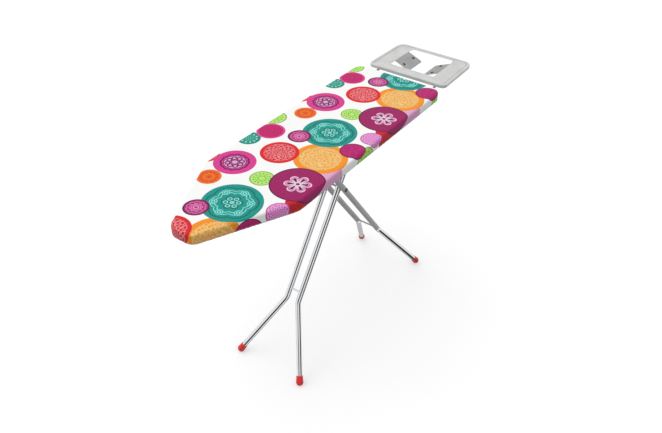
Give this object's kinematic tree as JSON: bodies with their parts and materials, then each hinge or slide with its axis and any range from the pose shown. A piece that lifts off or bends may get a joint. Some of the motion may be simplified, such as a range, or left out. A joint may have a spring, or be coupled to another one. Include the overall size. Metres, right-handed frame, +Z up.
{
  "type": "ironing board",
  "caption": "Folding ironing board with a tapered padded top under a patterned cover, scissor legs with plastic feet and a steel iron rest at the rear end.",
  "frame": {"origin": "on the floor, under the middle of the overall length", "axes": "+X along the board from the nose to the iron rest, +Y across it to the left side, +Z up"},
  "size_m": [1.502, 0.38, 0.897],
  "materials": {
    "printed_cotton": "matte printed cotton",
    "felt": "needled felt",
    "panel_paint": "satin powder coat",
    "zinc_steel": "zinc plated",
    "grip_plastic": "moulded, fine grain",
    "rest_paint": "silver satin powder coat",
    "flap_paint": "grey satin powder coat",
    "stud_rubber": "matte",
    "chrome_tube": "polished plate",
    "leg_paint": "satin grey powder coat",
    "foot_plastic": "moulded, soft gloss",
    "foot_plastic_dark": "moulded, soft gloss",
    "bush_plastic": "turned nylon",
    "cap_plastic": "moulded"
  },
  "bodies": {
    "board": {"cover": "printed_cotton", "felt_pad": "felt", "top_panel": "panel_paint", "rim_frame": "panel_paint", "cross_brace_front": "panel_paint", "cross_brace_rear": "panel_paint", "slide_rail_left": "zinc_steel", "slide_rail_right": "zinc_steel", "rail_rivets": "zinc_steel", "hinge_bracket_left": "zinc_steel", "hinge_bracket_right": "zinc_steel", "hinge_pin": "zinc_steel", "lever_pin": "zinc_steel", "lever_spring": "zinc_steel", "rest_plate": "rest_paint", "rest_flap_left": "flap_paint", "rest_flap_right": "flap_paint", "rest_studs": "stud_rubber", "rest_arm_left": "chrome_tube", "rest_arm_right": "chrome_tube", "rest_clamps": "zinc_steel", "clamp_screws": "zinc_steel"},
    "height_lever": {"height_lever": "zinc_steel", "lever_grip": "grip_plastic"},
    "front_legs": {"front_leg_left": "chrome_tube", "front_leg_right": "chrome_tube", "front_cross_rod": "chrome_tube", "front_sleeve": "chrome_tube", "front_foot_left": "foot_plastic", "front_foot_right": "foot_plastic"},
    "rear_legs": {"rear_leg_upper_left": "leg_paint", "rear_leg_upper_right": "leg_paint", "rear_leg_lower_left": "chrome_tube", "rear_leg_lower_right": "chrome_tube", "rear_cross_rod": "chrome_tube", "rear_foot_left": "foot_plastic_dark", "rear_foot_right": "foot_plastic_dark", "slider_bar": "zinc_steel", "slider_nuts": "zinc_steel", "slider_bush_left": "bush_plastic", "slider_bush_right": "bush_plastic", "pivot_pin": "zinc_steel", "pivot_caps": "cap_plastic", "pivot_washers": "zinc_steel"}
  },
  "joints": [
    {"name": "legs_fold", "type": "hinge", "parent": "board", "child": "front_legs", "pos_m": [0.15349, 0, 0.85343], "axis": [0, 1, 0], "range_deg": [0, 52]},
    {"name": "rear_legs_fold", "type": "hinge", "parent": "front_legs", "child": "rear_legs", "pos_m": [0.004, 0, 0.631], "axis": [0, 1, 0], "range_deg": [-104, 0]},
    {"name": "height_lever_lift", "type": "hinge", "parent": "board", "child": "height_lever", "pos_m": [-0.07728, 0, 0.85982], "axis": [0, 1, 0], "range_deg": [0, 5], "stiffness_Nm_per_rad": 2, "springref_deg": -8.59}
  ],
  "couplings": [
    {"joint": "rear_legs_fold", "follows": "legs_fold", "ratio": -2}
  ]
}
